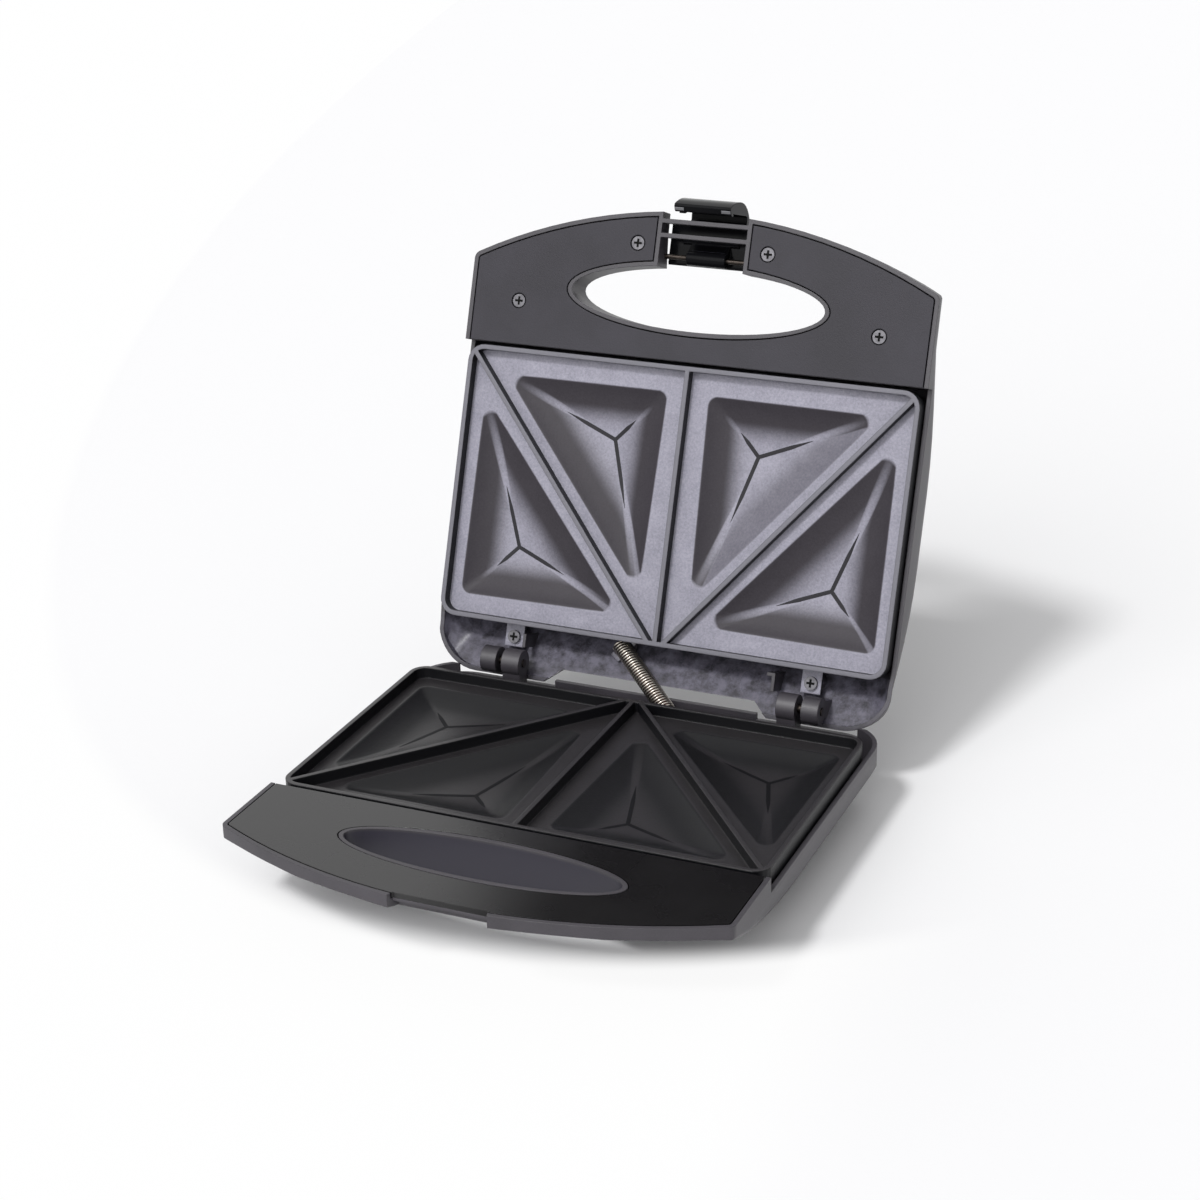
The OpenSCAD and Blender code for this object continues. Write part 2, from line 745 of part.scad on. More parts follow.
// Bowl from the border down to the apex, with d added all round and below
module bowl(triangle, apex, d) {
  border = pocket_border(triangle, d);
  n = len(border);
  m = len(pocket_rings);
  mouth = [for (p = border) [p[0], p[1], land_depth - 0.01 + d / 4]];
  inner = [
    for (t = pocket_rings) for (p = border)
      let (q = apex + t * (p - apex))
      [q[0], q[1], land_depth + d + 0.01 + pocket_depth * pocket_share(t)]
  ];
  points = concat(mouth, inner, [[apex[0], apex[1], land_depth + d + pocket_depth + 0.01]]);
  sides = [
    for (i = [0 : m - 1]) for (j = [0 : n - 1])
      let (a = i * n + j, b = i * n + (j + 1) % n, c = a + n, e = b + n)
      each [[a, c, b], [b, c, e]]
  ];
  tip = [for (j = [0 : n - 1]) [m * n + j, (m + 1) * n, m * n + (j + 1) % n]];
  polyhedron(points, concat([[for (j = [0 : n - 1]) j]], sides, tip), convexity = 4);
}

module cooking_plate() {
  difference() {
    union() {
      rounded_rect(plate_w, plate_d, plate_corner_r, land_depth, land_depth + plate_wall);
      both_sides() {
        bowl(outer_pocket, outer_apex, plate_wall);
        bowl(inner_pocket, inner_apex, plate_wall);
      }
      difference() {
        rounded_rect(plate_w, plate_d, plate_corner_r, face_gap, skirt_depth);
        translate([0, rim_w, 0]) rounded_rect(plate_w - 2 * rim_w, plate_d - 2 * rim_w,
          plate_corner_r - rim_w, -1, skirt_depth + 1);
      }
      intersection() {
        union() {
          box(-rib_w / 2, rib_w / 2, 0, plate_d, face_gap, land_depth + 0.5);
          both_sides() plate_diagonal();
        }
        rounded_rect(plate_w, plate_d, plate_corner_r, 0, 10);
      }
      both_sides() box(tab_x - tab_half, tab_x + tab_half, plate_d - rim_w, tab_y + tab_half,
        tab_z, tab_z + tab_t);
    }
    both_sides() {
      bowl(outer_pocket, outer_apex, 0);
      bowl(inner_pocket, inner_apex, 0);
      translate([tab_x, tab_y, 0]) cylinder(h = deep, r = tab_hole_r, $fn = round_fn);
    }
  }
}

// Diagonal rib from the outer front corner to the middle of the back
module plate_diagonal() {
  start = [plate_w / 2 - 2, 2];
  finish = [3.5, plate_d - 1];
  run = finish - start;
  translate([start[0], start[1], face_gap]) rotate([0, 0, atan2(run[1], run[0])])
    translate([0, -rib_w / 2, 0]) cube([norm(run), rib_w, land_depth + 0.5 - face_gap]);
}

module lower_plate() {
  color([0.10, 0.10, 0.11]) on_base() cooking_plate();
}

module upper_plate() {
  color([0.52, 0.51, 0.57]) on_lid() cooking_plate();
}

module plate_screws() {
  both_sides() translate([tab_x, tab_y, tab_z - screw_head_h]) cross_screw(plate_screw_l);
}

module lower_plate_screws() {
  color([0.75, 0.75, 0.77]) on_base() plate_screws();
}

module upper_plate_screws() {
  color([0.75, 0.75, 0.77]) on_lid() plate_screws();
}

// Bent heater tube with a cold pin at each end
module heater() {
  bend_r = (heater_back_y - heater_front_y) / 2;
  translate([0, 0, heater_z]) {
    for (y = [heater_front_y, heater_back_y]) {
      translate([heater_left_x, y, 0]) rotate([0, 90, 0])
        cylinder(h = heater_right_x - heater_left_x, r = heater_r, $fn = round_fn);
      translate([heater_right_x, y, 0]) rotate([0, 90, 0])
        cylinder(h = cold_pin_l, r = cold_pin_r, $fn = round_fn);
    }
    translate([heater_left_x, heater_front_y + bend_r, 0]) rotate([0, 0, 90])
      rotate_extrude(angle = 180, $fn = fine_fn) translate([bend_r, 0])
        circle(r = heater_r, $fn = round_fn);
  }
}

module lower_heater() {
  color([0.55, 0.52, 0.50]) on_base() heater();
}

module upper_heater() {
  color([0.55, 0.52, 0.50]) on_lid() heater();
}

module reflector() {
  depth = reflector_back - reflector_front;
  lip = 3;
  translate([0, reflector_front, 0]) difference() {
    rounded_rect(reflector_w, depth, 6, reflector_z - lip, reflector_z + reflector_t);
    translate([0, reflector_t, 0]) rounded_rect(reflector_w - 2 * reflector_t, depth - 2 * reflector_t,
      6 - reflector_t, reflector_z - lip - 1, reflector_z);
  }
}

module lower_reflector() {
  color([0.78, 0.79, 0.80]) on_base() reflector();
}

module upper_reflector() {
  color([0.78, 0.79, 0.80]) on_lid() reflector();
}

module feet() {
  color([0.12, 0.12, 0.12]) on_base() both_sides() for (y = foot_ys) translate([foot_x, y, 0]) {
    translate([0, 0, lower_h]) cylinder(h = foot_h, r = foot_r, $fn = round_fn);
    translate([0, 0, lower_h - wall - 2]) cylinder(h = wall + 3, r = stem_r, $fn = round_fn);
  }
}

module cord_gland() {
  color([0.10, 0.10, 0.10]) on_base() translate([gland_x, rear_y, gland_z]) rotate([-90, 0, 0])
    difference() {
      union() {
        translate([0, 0, -wall - seat_gap - gland_flange])
          cylinder(h = wall + 2 * seat_gap + 2 * gland_flange, r = gland_r - 0.5, $fn = round_fn);
        translate([0, 0, seat_gap])
          cylinder(h = gland_flange, r = gland_r + 1.5, $fn = round_fn);
        translate([0, 0, -wall - seat_gap - gland_flange])
          cylinder(h = gland_flange, r = gland_r + 1.5, $fn = round_fn);
      }
      cylinder(h = deep, r = gland_bore_r, center = true, $fn = round_fn);
    }
}

module terminal_block() {
  color([0.85, 0.84, 0.78]) on_base() difference() {
    translate([terminal_x - terminal_size[0] / 2, terminal_y, lower_h - wall - seat_gap - terminal_size[2]])
      cube(terminal_size);
    for (i = [-1 : 1]) translate([terminal_x + i * 8, terminal_y + terminal_size[1] / 2, 0])
      cylinder(h = lower_h - wall - terminal_size[2] + 3, r = 2, $fn = round_fn);
  }
}

module hinge_pins() {
  color([0.70, 0.70, 0.72]) on_base() both_sides()
    translate([knuckle_x - 0.5, hinge_y, 0]) rotate([0, 90, 0])
      cylinder(h = lid_knuckle_x + lid_knuckle_l - knuckle_x + 1, r = hinge_pin_r, $fn = fine_fn);
}

// Conduit axis on the base frame, from its base end to its end on the open lid
function from_lid(p) = [
  p[0],
  hinge_y + open_c * (p[1] - hinge_y) + open_s * p[2],
  -open_s * (p[1] - hinge_y) + open_c * p[2]
];
conduit_top = from_lid(conduit_lid);
conduit_dir = (conduit_top - conduit_base) / norm(conduit_top - conduit_base);
conduit_lid_dir = [
  conduit_dir[0],
  open_c * conduit_dir[1] - open_s * conduit_dir[2],
  open_s * conduit_dir[1] + open_c * conduit_dir[2]
];
conduit_mid = (conduit_top + conduit_base) / 2;
conduit_l = conduit_turns * conduit_pitch;
coil_r = conduit_r - wire_d / 2;

module along_conduit() {
  translate([0, -mid_y, close_z]) translate(conduit_mid)
    rotate([0, acos(conduit_dir[2]), atan2(conduit_dir[1], conduit_dir[0])]) children();
}

// Centre of the wire at turn t
function coil_point(t) =
  [coil_r * cos(360 * t), coil_r * sin(360 * t), conduit_pitch * (t - conduit_turns / 2)];

coil_rings = conduit_turns * conduit_rings;
coil_slope = atan2(conduit_pitch, 2 * PI * coil_r);

// Wire rings: a straight end, the turns and a straight end
coil_frames = [
  for (i = [0 : coil_rings]) let (t = i / conduit_rings) [coil_point(t), 360 * t]
];

function coil_ring(centre, turn) = [
  for (k = [0 : conduit_sides - 1])
    let (
      a = 360 * k / conduit_sides,
      out = [cos(turn), sin(turn), 0],
      side = [sin(turn) * sin(coil_slope), -cos(turn) * sin(coil_slope), cos(coil_slope)]
    )
    centre + wire_d / 2 * (cos(a) * out + sin(a) * side)
];

// Tangent of the wire, for its straight ends
function coil_tangent(turn) = [
  -sin(turn) * cos(coil_slope), cos(turn) * cos(coil_slope), sin(coil_slope)
];

coil_least_gap = min([
  for (i = [0 : conduit_rings]) for (j = [conduit_rings - 2 : conduit_rings + 2])
    norm(coil_frames[i][0] - coil_frames[i + j][0])
]) - wire_d;
echo(conduit_least_gap = coil_least_gap);

module conduit_spring() {
  first = coil_frames[0];
  last = coil_frames[coil_rings];
  rings = concat(
    [coil_ring(first[0] - wire_d * coil_tangent(first[1]), first[1])],
    [for (f = coil_frames) coil_ring(f[0], f[1])],
    [coil_ring(last[0] + wire_d * coil_tangent(last[1]), last[1])]
  );
  n = conduit_sides;
  m = len(rings);
  points = [for (r = rings) for (p = r) p];
  sides = [
    for (i = [0 : m - 2]) for (j = [0 : n - 1])
      let (a = i * n + j, b = i * n + (j + 1) % n, c = a + n, d = b + n)
      each [[a, b, c], [b, d, c]]
  ];
  caps = concat(
    [for (j = [1 : n - 2]) [0, j + 1, j]],
    [for (j = [1 : n - 2]) [(m - 1) * n, (m - 1) * n + j, (m - 1) * n + j + 1]]
  );
  color([0.45, 0.42, 0.38]) along_conduit() polyhedron(points, concat(sides, caps), convexity = 10);
}

module conduit_leads() {
  color([0.55, 0.10, 0.08]) along_conduit() for (a = [90, 210, 330])
    rotate([0, 0, a]) translate([1.5, 0, -conduit_l / 2 - 3])
      cylinder(h = conduit_l + 6, r = lead_r, $fn = round_fn);
}

module thermostat() {
  color([0.80, 0.78, 0.74]) on_lid() {
    translate([0, thermostat_y, land_depth + plate_wall + seat_gap]) {
      cylinder(h = 5, r = 7, $fn = round_fn);
      cylinder(h = 7.5, r = 4.5, $fn = round_fn);
    }
  }
}

module thermal_fuse() {
  color([0.80, 0.80, 0.82]) on_lid()
    translate([0, fuse_y + fuse_wire_l, land_depth + plate_wall + seat_gap + 2]) rotate([-90, 0, 0]) {
      cylinder(h = fuse_l, r = 2, $fn = round_fn);
      translate([0, 0, -fuse_wire_l])
        cylinder(h = fuse_l + 2 * fuse_wire_l, r = 0.5, $fn = round_fn);
    }
}

// Lamp lens, a cup through the roof with a domed face
module lens(x) {
  roof = upper_profile(lens_y);
  translate([x, lens_y, roof - lens_len + 1.5]) difference() {
    union() {
      cylinder(h = lens_len, r = lens_r, $fn = round_fn);
      cylinder(h = lens_len - wall - 3.5, r = lens_r + 1, $fn = round_fn);
    }
    translate([0, 0, -1]) cylinder(h = lens_len, r = lens_r - lens_wall, $fn = round_fn);
  }
}

module power_lens() {
  color([0.75, 0.08, 0.06]) on_lid() lens(lens_x);
}

module ready_lens() {
  color([0.10, 0.55, 0.20]) on_lid() lens(-lens_x);
}

module neon_lamps() {
  roof = upper_profile(lens_y);
  color([0.90, 0.75, 0.60]) on_lid() both_sides()
    translate([lens_x, lens_y, roof - lens_len + 1.5 + lens_len - 1 - seat_gap - neon_len])
      cylinder(h = neon_len, r = neon_r, $fn = round_fn);
}

module latch_pin() {
  color([0.45, 0.36, 0.30]) on_lid()
    translate([-latch_gap_half_w - wall + 0.2, -latch_reach, latch_z]) rotate([0, 90, 0])
      cylinder(h = 2 * (latch_gap_half_w + wall - 0.2), r = latch_pin_r, $fn = round_fn);
}

// Side outline of the latch about its pivot, as it stands released
function hook_point(r, a) = [r * cos(a), r * sin(a)];
function outer_r(a) = hook_r + hook_t
  - lever_back_drop * pow(max(0, (180 - a) / (180 - elbow_angle)), 2);
hook_outline = concat(
  [for (i = [0 : 12]) let (a = elbow_angle + (nose_angle - elbow_angle) * i / 12)
    hook_point(outer_r(a), a)],
  [hook_point(hook_r + hook_t - 0.8, nose_angle + 1.6), hook_point(hook_r + 0.8, nose_angle + 1.6)],
  [for (i = [0 : 9]) let (a = nose_angle - (nose_angle - elbow_angle - 11) * i / 9)
    hook_point(hook_r, a)],
  [hook_point(hook_r - 2.5, elbow_angle + 7)],
  [hook_point(neck_r, elbow_angle + 16), hook_point(neck_r, elbow_angle - 8)],
  [hook_point(outer_r(elbow_angle) - 4, elbow_angle - 2.5)]
);
neck_outline = [
  hook_point(neck_r + 1, elbow_angle + 12), hook_point(barrel_r - 0.4, elbow_angle + 50),
  hook_point(barrel_r - 0.4, elbow_angle - 50), hook_point(neck_r + 1, elbow_angle - 7)
];

end_wall_outline = [
  for (i = [0 : 12]) let (a = elbow_angle + 9 + (nose_angle - elbow_angle - 9) * i / 12)
    hook_point(hook_r + 1, a)
];
lever_outline = [
  [-17.4, lever_z], [lever_back, lever_z], [lever_back + 1.2, lever_z + 0.6],
  [lever_back + 1.2, lever_z + 1.4], [lever_back, lever_z + 2], [-17.4, lever_z + 2]
];

module across(half_l) {
  rotate([90, 0, 90]) translate([0, 0, -half_l]) linear_extrude(2 * half_l) children();
}

module latch() {
  catch_start = hook_r - catch_reach;
  color([0.07, 0.07, 0.08]) on_lid() translate([0, -latch_reach, latch_z]) difference() {
    union() {
      across(latch_half_w) polygon(hook_outline);
      across(barrel_half_l) polygon(neck_outline);
      across(latch_gap_half_w - 0.5) polygon(lever_outline);
      both_sides() translate([latch_half_w - end_wall_t / 2, 0, 0])
        across(end_wall_t / 2) polygon(end_wall_outline);
      rotate([0, 90, 0]) translate([0, 0, -barrel_half_l])
        cylinder(h = 2 * barrel_half_l, r = barrel_r, $fn = fine_fn);
      both_sides() translate([catch_x, 0, 0]) rotate([catch_angle, 0, 0])
        translate([-catch_half_l, catch_start, -catch_half_t])
          cube([2 * catch_half_l, catch_reach + 1, 2 * catch_half_t]);
    }
    rotate([0, 90, 0])
      cylinder(h = 4 * barrel_half_l, r = latch_pin_r + run_gap, center = true, $fn = fine_fn);
  }
}

lower_housing();
lower_handle_cover();
lower_cover_screws();
lower_plate();
lower_plate_screws();
lower_heater();
lower_reflector();
feet();
cord_gland();
terminal_block();
hinge_pins();
conduit_spring();
conduit_leads();
upper_housing();
upper_handle_cover();
upper_cover_screws();
upper_plate();
upper_plate_screws();
upper_heater();
upper_reflector();
thermostat();
thermal_fuse();
power_lens();
ready_lens();
neon_lamps();
latch_pin();
latch();
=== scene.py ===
import json
import math

import bpy
import bmesh
from mathutils import Matrix, Vector


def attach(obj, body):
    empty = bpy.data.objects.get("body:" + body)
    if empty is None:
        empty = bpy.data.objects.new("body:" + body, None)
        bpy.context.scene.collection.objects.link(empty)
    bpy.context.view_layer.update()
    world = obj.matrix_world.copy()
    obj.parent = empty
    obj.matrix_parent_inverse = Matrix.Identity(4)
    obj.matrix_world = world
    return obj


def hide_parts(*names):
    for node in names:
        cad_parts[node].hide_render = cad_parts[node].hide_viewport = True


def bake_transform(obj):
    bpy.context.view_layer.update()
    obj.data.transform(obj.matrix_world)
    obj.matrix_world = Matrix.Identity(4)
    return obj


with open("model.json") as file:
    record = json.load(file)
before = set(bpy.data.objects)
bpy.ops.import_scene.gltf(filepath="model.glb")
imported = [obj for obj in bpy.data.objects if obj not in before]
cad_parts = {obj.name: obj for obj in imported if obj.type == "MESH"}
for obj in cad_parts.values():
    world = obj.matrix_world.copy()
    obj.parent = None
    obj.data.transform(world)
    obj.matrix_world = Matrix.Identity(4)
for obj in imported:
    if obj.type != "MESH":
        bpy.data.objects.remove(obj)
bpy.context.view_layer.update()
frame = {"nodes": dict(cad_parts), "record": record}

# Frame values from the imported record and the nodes
joints = {j["name"]: j for j in frame["record"]["behaviour"]["joints"]}
HINGE = Vector(joints["lid_hinge"]["pos_m"])
OPEN = math.radians(joints["lid_hinge"]["range_deg"][1])
CO, SO = math.cos(OPEN), math.sin(OPEN)
HINGE_Y = 0.1482
CLOSE_Z = HINGE.z
MID_Y = HINGE_Y - HINGE.y


def lid(x, y, z):
    """Half-frame point of the lid (metres), in the open toaster."""
    dy = y - HINGE_Y
    return Vector((x, HINGE.y + CO * dy + SO * z, CLOSE_Z - SO * dy + CO * z))


def base(x, y, z):
    """Half-frame point of the base (metres, z down from the closing plane)."""
    return Vector((x, y - MID_Y, CLOSE_Z - z))


# Camera
CAMERA_ANGLES = (24.054, 23.067, -1.39)
CAMERA_PLACE = (0.4030654, -0.8083093 - MID_Y, 0.4849789 + CLOSE_Z)
CAMERA_LENS, SENSOR_WIDTH = 73.79, 36
az, el, roll = (math.radians(a) for a in CAMERA_ANGLES)
view_back = Vector((math.sin(az) * math.cos(el), -math.cos(az) * math.cos(el), math.sin(el)))
view_right = Vector((math.cos(az), math.sin(az), 0))
view_up = view_back.cross(view_right)
cam_right = view_right * math.cos(roll) + view_up * math.sin(roll)
cam_up = -view_right * math.sin(roll) + view_up * math.cos(roll)
cam_data = bpy.data.cameras.new("camera")
cam_data.sensor_width = SENSOR_WIDTH
cam_data.lens = CAMERA_LENS
cam_data.clip_end = 20
camera = bpy.data.objects.new("camera", cam_data)
bpy.context.collection.objects.link(camera)
rot = Matrix((cam_right, cam_up, view_back)).transposed().to_4x4()
camera.matrix_world = Matrix.Translation(CAMERA_PLACE) @ rot
bpy.context.scene.camera = camera
bpy.context.scene.view_settings.view_transform = "Standard"


# Materials
class Mat:
    """Small helper round a node tree."""

    def __init__(self, name):
        self.m = bpy.data.materials.new(name)
        self.m.use_nodes = True
        self.t = self.m.node_tree
        self.bsdf = self.t.nodes["Principled BSDF"]
        self.co = self.node("ShaderNodeTexCoord").outputs["Object"]

    def node(self, kind, **props):
        n = self.t.nodes.new(kind)
        for k, v in props.items():
            setattr(n, k, v)
        return n

    def link(self, a, b):
        self.t.links.new(a, b)

    def noise(self, scale, detail=4, rough=0.5, co=None):
        n = self.node("ShaderNodeTexNoise")
        n.inputs["Scale"].default_value = scale
        n.inputs["Detail"].default_value = detail
        n.inputs["Roughness"].default_value = rough
        self.link(co or self.co, n.inputs["Vector"])
        return n.outputs["Fac"]

    def ramp(self, fac, stops):
        n = self.node("ShaderNodeValToRGB")
        e = n.color_ramp.elements
        while len(e) < len(stops):
            e.new(0.5)
        for el_, (p, c) in zip(e, stops):
            el_.position = p
            el_.color = (*c, 1) if len(c) == 3 else c
        self.link(fac, n.inputs["Fac"])
        return n.outputs["Color"]

    def math(self, op, a, b=None, c=None, clamp=False):
        n = self.node("ShaderNodeMath", operation=op, use_clamp=clamp)
        for i, v in enumerate((a, b, c)):
            if v is None:
                continue
            if isinstance(v, (int, float)):
                n.inputs[i].default_value = v
            else:
                self.link(v, n.inputs[i])
        return n.outputs[0]

    def dot(self, vec, axis):
        n = self.node("ShaderNodeVectorMath", operation="DOT_PRODUCT")
        self.link(vec, n.inputs[0])
        n.inputs[1].default_value = axis
        return n.outputs["Value"]

    def mix(self, fac, a, b):
        n = self.node("ShaderNodeMix", data_type="RGBA")
        for sock, v in ((n.inputs[0], fac), (n.inputs[6], a), (n.inputs[7], b)):
            if isinstance(v, (int, float)):
                sock.default_value = v
            elif isinstance(v, tuple):
                sock.default_value = (*v, 1)
            else:
                self.link(v, sock)
        return n.outputs[2]

    def step(self, value, lo, hi):
        n = self.node("ShaderNodeMapRange", interpolation_type="SMOOTHSTEP")
        n.inputs["From Min"].default_value = lo
        n.inputs["From Max"].default_value = hi
        self.link(value, n.inputs["Value"])
        return n.outputs["Result"]

    def bump(self, height, strength, distance=0.001, edge=0.0):
        n = self.node("ShaderNodeBump")
        n.inputs["Strength"].default_value = strength
        n.inputs["Distance"].default_value = distance
        self.link(height, n.inputs["Height"])
        if edge:
            bev = self.node("ShaderNodeBevel", samples=4)
            bev.inputs["Radius"].default_value = edge
            self.link(bev.outputs[0], n.inputs["Normal"])
        self.link(n.outputs[0], self.bsdf.inputs["Normal"])

    def set(self, **kw):
        names = dict(color="Base Color", rough="Roughness", metal="Metallic",
                     spec="Specular IOR Level", coat="Coat Weight", coat_rough="Coat Roughness",
                     trans="Transmission Weight", ior="IOR", sss="Subsurface Weight")
        for k, v in kw.items():
            s = self.bsdf.inputs[names[k]]
            if isinstance(v, tuple):
                s.default_value = (*v, 1)
            elif isinstance(v, (int, float)):
                s.default_value = v
            else:
                self.link(v, s)
        return self


def plastic(name, dark, light, rough=(0.42, 0.52), grain=0.10, edge=0.0005, spec=0.5):
    """Moulded plastic: fine grain, slight mottling and soft edges."""
    m = Mat(name)
    broad = m.noise(28, 3, 0.6)
    fine = m.noise(1500, 2, 0.6)
    mixed = m.math("ADD", m.math("MULTIPLY", broad, 0.75), m.math("MULTIPLY", fine, 0.25))
    m.set(color=m.ramp(mixed, [(0.35, dark), (0.65, light)]), spec=spec)
    r = m.node("ShaderNodeMapRange")
    r.inputs["To Min"].default_value = rough[0]
    r.inputs["To Max"].default_value = rough[1]
    m.link(broad, r.inputs["Value"])
    m.set(rough=r.outputs["Result"])
    m.bump(fine, grain, 0.0004, edge)
    return m


def metal(name, dark, light, rough=0.3, grain=400, edge=0.0):
    m = Mat(name)
    n = m.noise(grain, 3, 0.6)
    m.set(color=m.ramp(n, [(0.3, dark), (0.7, light)]), metal=1.0, rough=rough)
    m.bump(n, 0.05, 0.0003, edge)
    return m


def lid_depth(m):
    """Depth into the lid from the closing plane, for the open toaster (metres)."""
    d = m.dot(m.co, (0, SO, CO))
    return m.math("SUBTRACT", d, SO * HINGE.y + CO * CLOSE_Z)


def lid_back(m):
    """Distance behind the plates' front edge, in the lid's half frame (metres)."""
    d = m.dot(m.co, (0, CO, -SO))
    return m.math("SUBTRACT", d, CO * HINGE.y - SO * CLOSE_Z - HINGE_Y)


def plate_mat(name, on_lid, land, land2, side, rim_shade_colour, pocket, rough, speckle, spec=0.5):
    """Non-stick coating: speckled on flats, with painted shade that makes it darker on slopes, least
    where they face up and left, near black on side walls and darker on raised rim and rib tops.
    """
    m = Mat(name)
    axis = (0, SO, CO) if on_lid else (0, 0, -1)
    depth = lid_depth(m) if on_lid else m.math("SUBTRACT", CLOSE_Z, m.dot(m.co, (0, 0, 1)))
    tc = m.node("ShaderNodeTexCoord")
    steep = m.math("ABSOLUTE", m.dot(tc.outputs["Normal"], axis))
    slope = m.math("SQRT", m.math("SUBTRACT", 1.0, m.math("MULTIPLY", steep, steep), clamp=True))
    down = (0.7, 0.7 * CO, -0.7 * SO) if on_lid else (0.7, -0.7, 0)
    turned = m.dot(tc.outputs["Normal"], down)
    grain = m.noise(900, 4, 0.75)
    blot = m.noise(90, 3, 0.6)
    mixed = m.math("ADD", m.math("MULTIPLY", grain, 0.7), m.math("MULTIPLY", blot, 0.3))
    flat = m.ramp(mixed, [(0.36, land2), (0.64, land)])
    # Painted shade on slopes: darker with steepness, less so where a slope faces up and left.
    lit = m.math("DIVIDE", m.math("MULTIPLY", turned, -1.0), m.math("ADD", slope, 0.001))
    lit = m.math("MULTIPLY_ADD", m.step(lit, 0.82, 0.98), -0.45, 0.97)
    shade = m.math("MULTIPLY", m.step(slope, 0.04, 0.27), lit)
    col = m.mix(shade, flat, m.ramp(mixed, [(0.3, pocket), (0.7, tuple(1.3 * v for v in pocket))]))
    # Painted shade: raised rim and rib tops take the darker rim colour.
    high = m.math("SUBTRACT", 1.0, m.step(depth, 0.0008, 0.0016))
    col = m.mix(m.math("MULTIPLY", high, 0.85), col, rim_shade_colour)
    # Painted shade: near-vertical side walls take the near-black side colour.
    wall_shade = m.math("SUBTRACT", 1.0, m.step(steep, 0.35, 0.75))
    col = m.mix(wall_shade, col, side)
    m.set(color=col, spec=m.math("MULTIPLY_ADD", shade, -0.6 * spec, spec),
          rough=m.math("ADD", rough, m.math("MULTIPLY", grain, 0.12)))
    m.bump(mixed, speckle, 0.0005, 0.0009)
    return m


def housing_mat():
    """Housing plastic, with painted shade, dark blue grey, on the floor of the lower handle's oval.
    """
    m = plastic("housing_plastic", (0.034, 0.031, 0.037), (0.053, 0.048, 0.057), (0.40, 0.52))
    depth = m.math("SUBTRACT", CLOSE_Z, m.dot(m.co, (0, 0, 1)))
    front = m.step(m.dot(m.co, (0, -1, 0)), MID_Y + 0.008, MID_Y + 0.012)
    middle = m.math("ABSOLUTE", m.dot(m.co, (1, 0, 0)))
    middle = m.math("SUBTRACT", 1.0, m.step(middle, 0.0635, 0.0645))
    edge = m.step(m.dot(m.co, (0, 1, 0)), -0.0465 - MID_Y, -0.0455 - MID_Y)
    # Painted shade: the floor of the lower handle's oval is darker and blue grey.
    oval_floor_shade = m.math("MULTIPLY", m.math("MULTIPLY", front, middle), edge)
    oval_floor_shade = m.math("MULTIPLY", oval_floor_shade, m.step(depth, 0.0005, 0.0020))
    shell = m.bsdf.inputs["Base Color"].links[0].from_socket
    m.set(color=m.mix(oval_floor_shade, shell, (0.020, 0.018, 0.029)))
    return m


def lid_housing_mat():
    """Lid plastic, shinier on its inside behind the plate, with painted streaky reflections there."""
    m = plastic("lid_housing_plastic", (0.030, 0.0275, 0.033), (0.046, 0.042, 0.050), (0.40, 0.52))
    behind = m.step(lid_back(m), 0.1300, 0.1306)
    inner = m.math("MULTIPLY", behind, m.step(lid_depth(m), 0.0070, 0.0076))
    facing = m.node("ShaderNodeTexCoord").outputs["Normal"]
    outside = m.step(m.dot(facing, (0, CO + SO, CO - SO)), -0.15, 0.05)
    inner = m.math("MULTIPLY", inner, m.math("SUBTRACT", 1.0, outside))
    reflection_streaks = m.noise(150, 5, 0.75)
    shell = m.bsdf.inputs["Base Color"].links[0].from_socket
    dull = m.bsdf.inputs["Roughness"].links[0].from_socket
    # Painted reflection: light grey violet streaks on the inside behind the plate.
    painted_reflection = m.ramp(reflection_streaks, [(0.36, (0.032, 0.030, 0.038)), (0.62, (0.125, 0.119, 0.155))])
    m.set(color=m.mix(inner, shell, painted_reflection))
    m.set(rough=m.math("SUBTRACT", dull, m.math("MULTIPLY", inner, 0.18)))
    return m


def lower_cover_mat():
    """Cover plastic of the lower handle, less shiny towards its right end."""
    m = plastic("lower_cover_plastic", (0.005, 0.0045, 0.005), (0.008, 0.0075, 0.008),
                (0.24, 0.32), 0.05)
    right = m.step(m.dot(m.co, (1, 0, 0)), -0.02, 0.05)
    m.set(spec=m.math("MULTIPLY_ADD", right, -0.50, 0.57))
    return m


HOUSING = housing_mat()
LID_HOUSING = lid_housing_mat()
LOWER_COVER = lower_cover_mat()
UPPER_COVER = plastic("upper_cover_plastic", (0.017, 0.0155, 0.021), (0.028, 0.026, 0.034),
                      (0.50, 0.60), 0.18, 0.0005, 0.32)
LATCH = plastic("latch_plastic", (0.003, 0.003, 0.004), (0.005, 0.005, 0.006),
                (0.12, 0.18), 0.02, 0.0007, 0.06)
RUBBER = plastic("foot_rubber", (0.010, 0.010, 0.010), (0.018, 0.018, 0.018),
                 (0.75, 0.85), 0.3)
OFFWHITE = plastic("terminal_plastic", (0.50, 0.48, 0.42), (0.60, 0.58, 0.52),
                   (0.45, 0.55), 0.1)
# Red lead sleeves, darkened as painted shade for the dark between the coil turns.
SLEEVE = plastic("lead_sleeve", (0.05, 0.008, 0.007), (0.08, 0.012, 0.010),
                 (0.6, 0.7), 0.3, 0.0, 0.1)
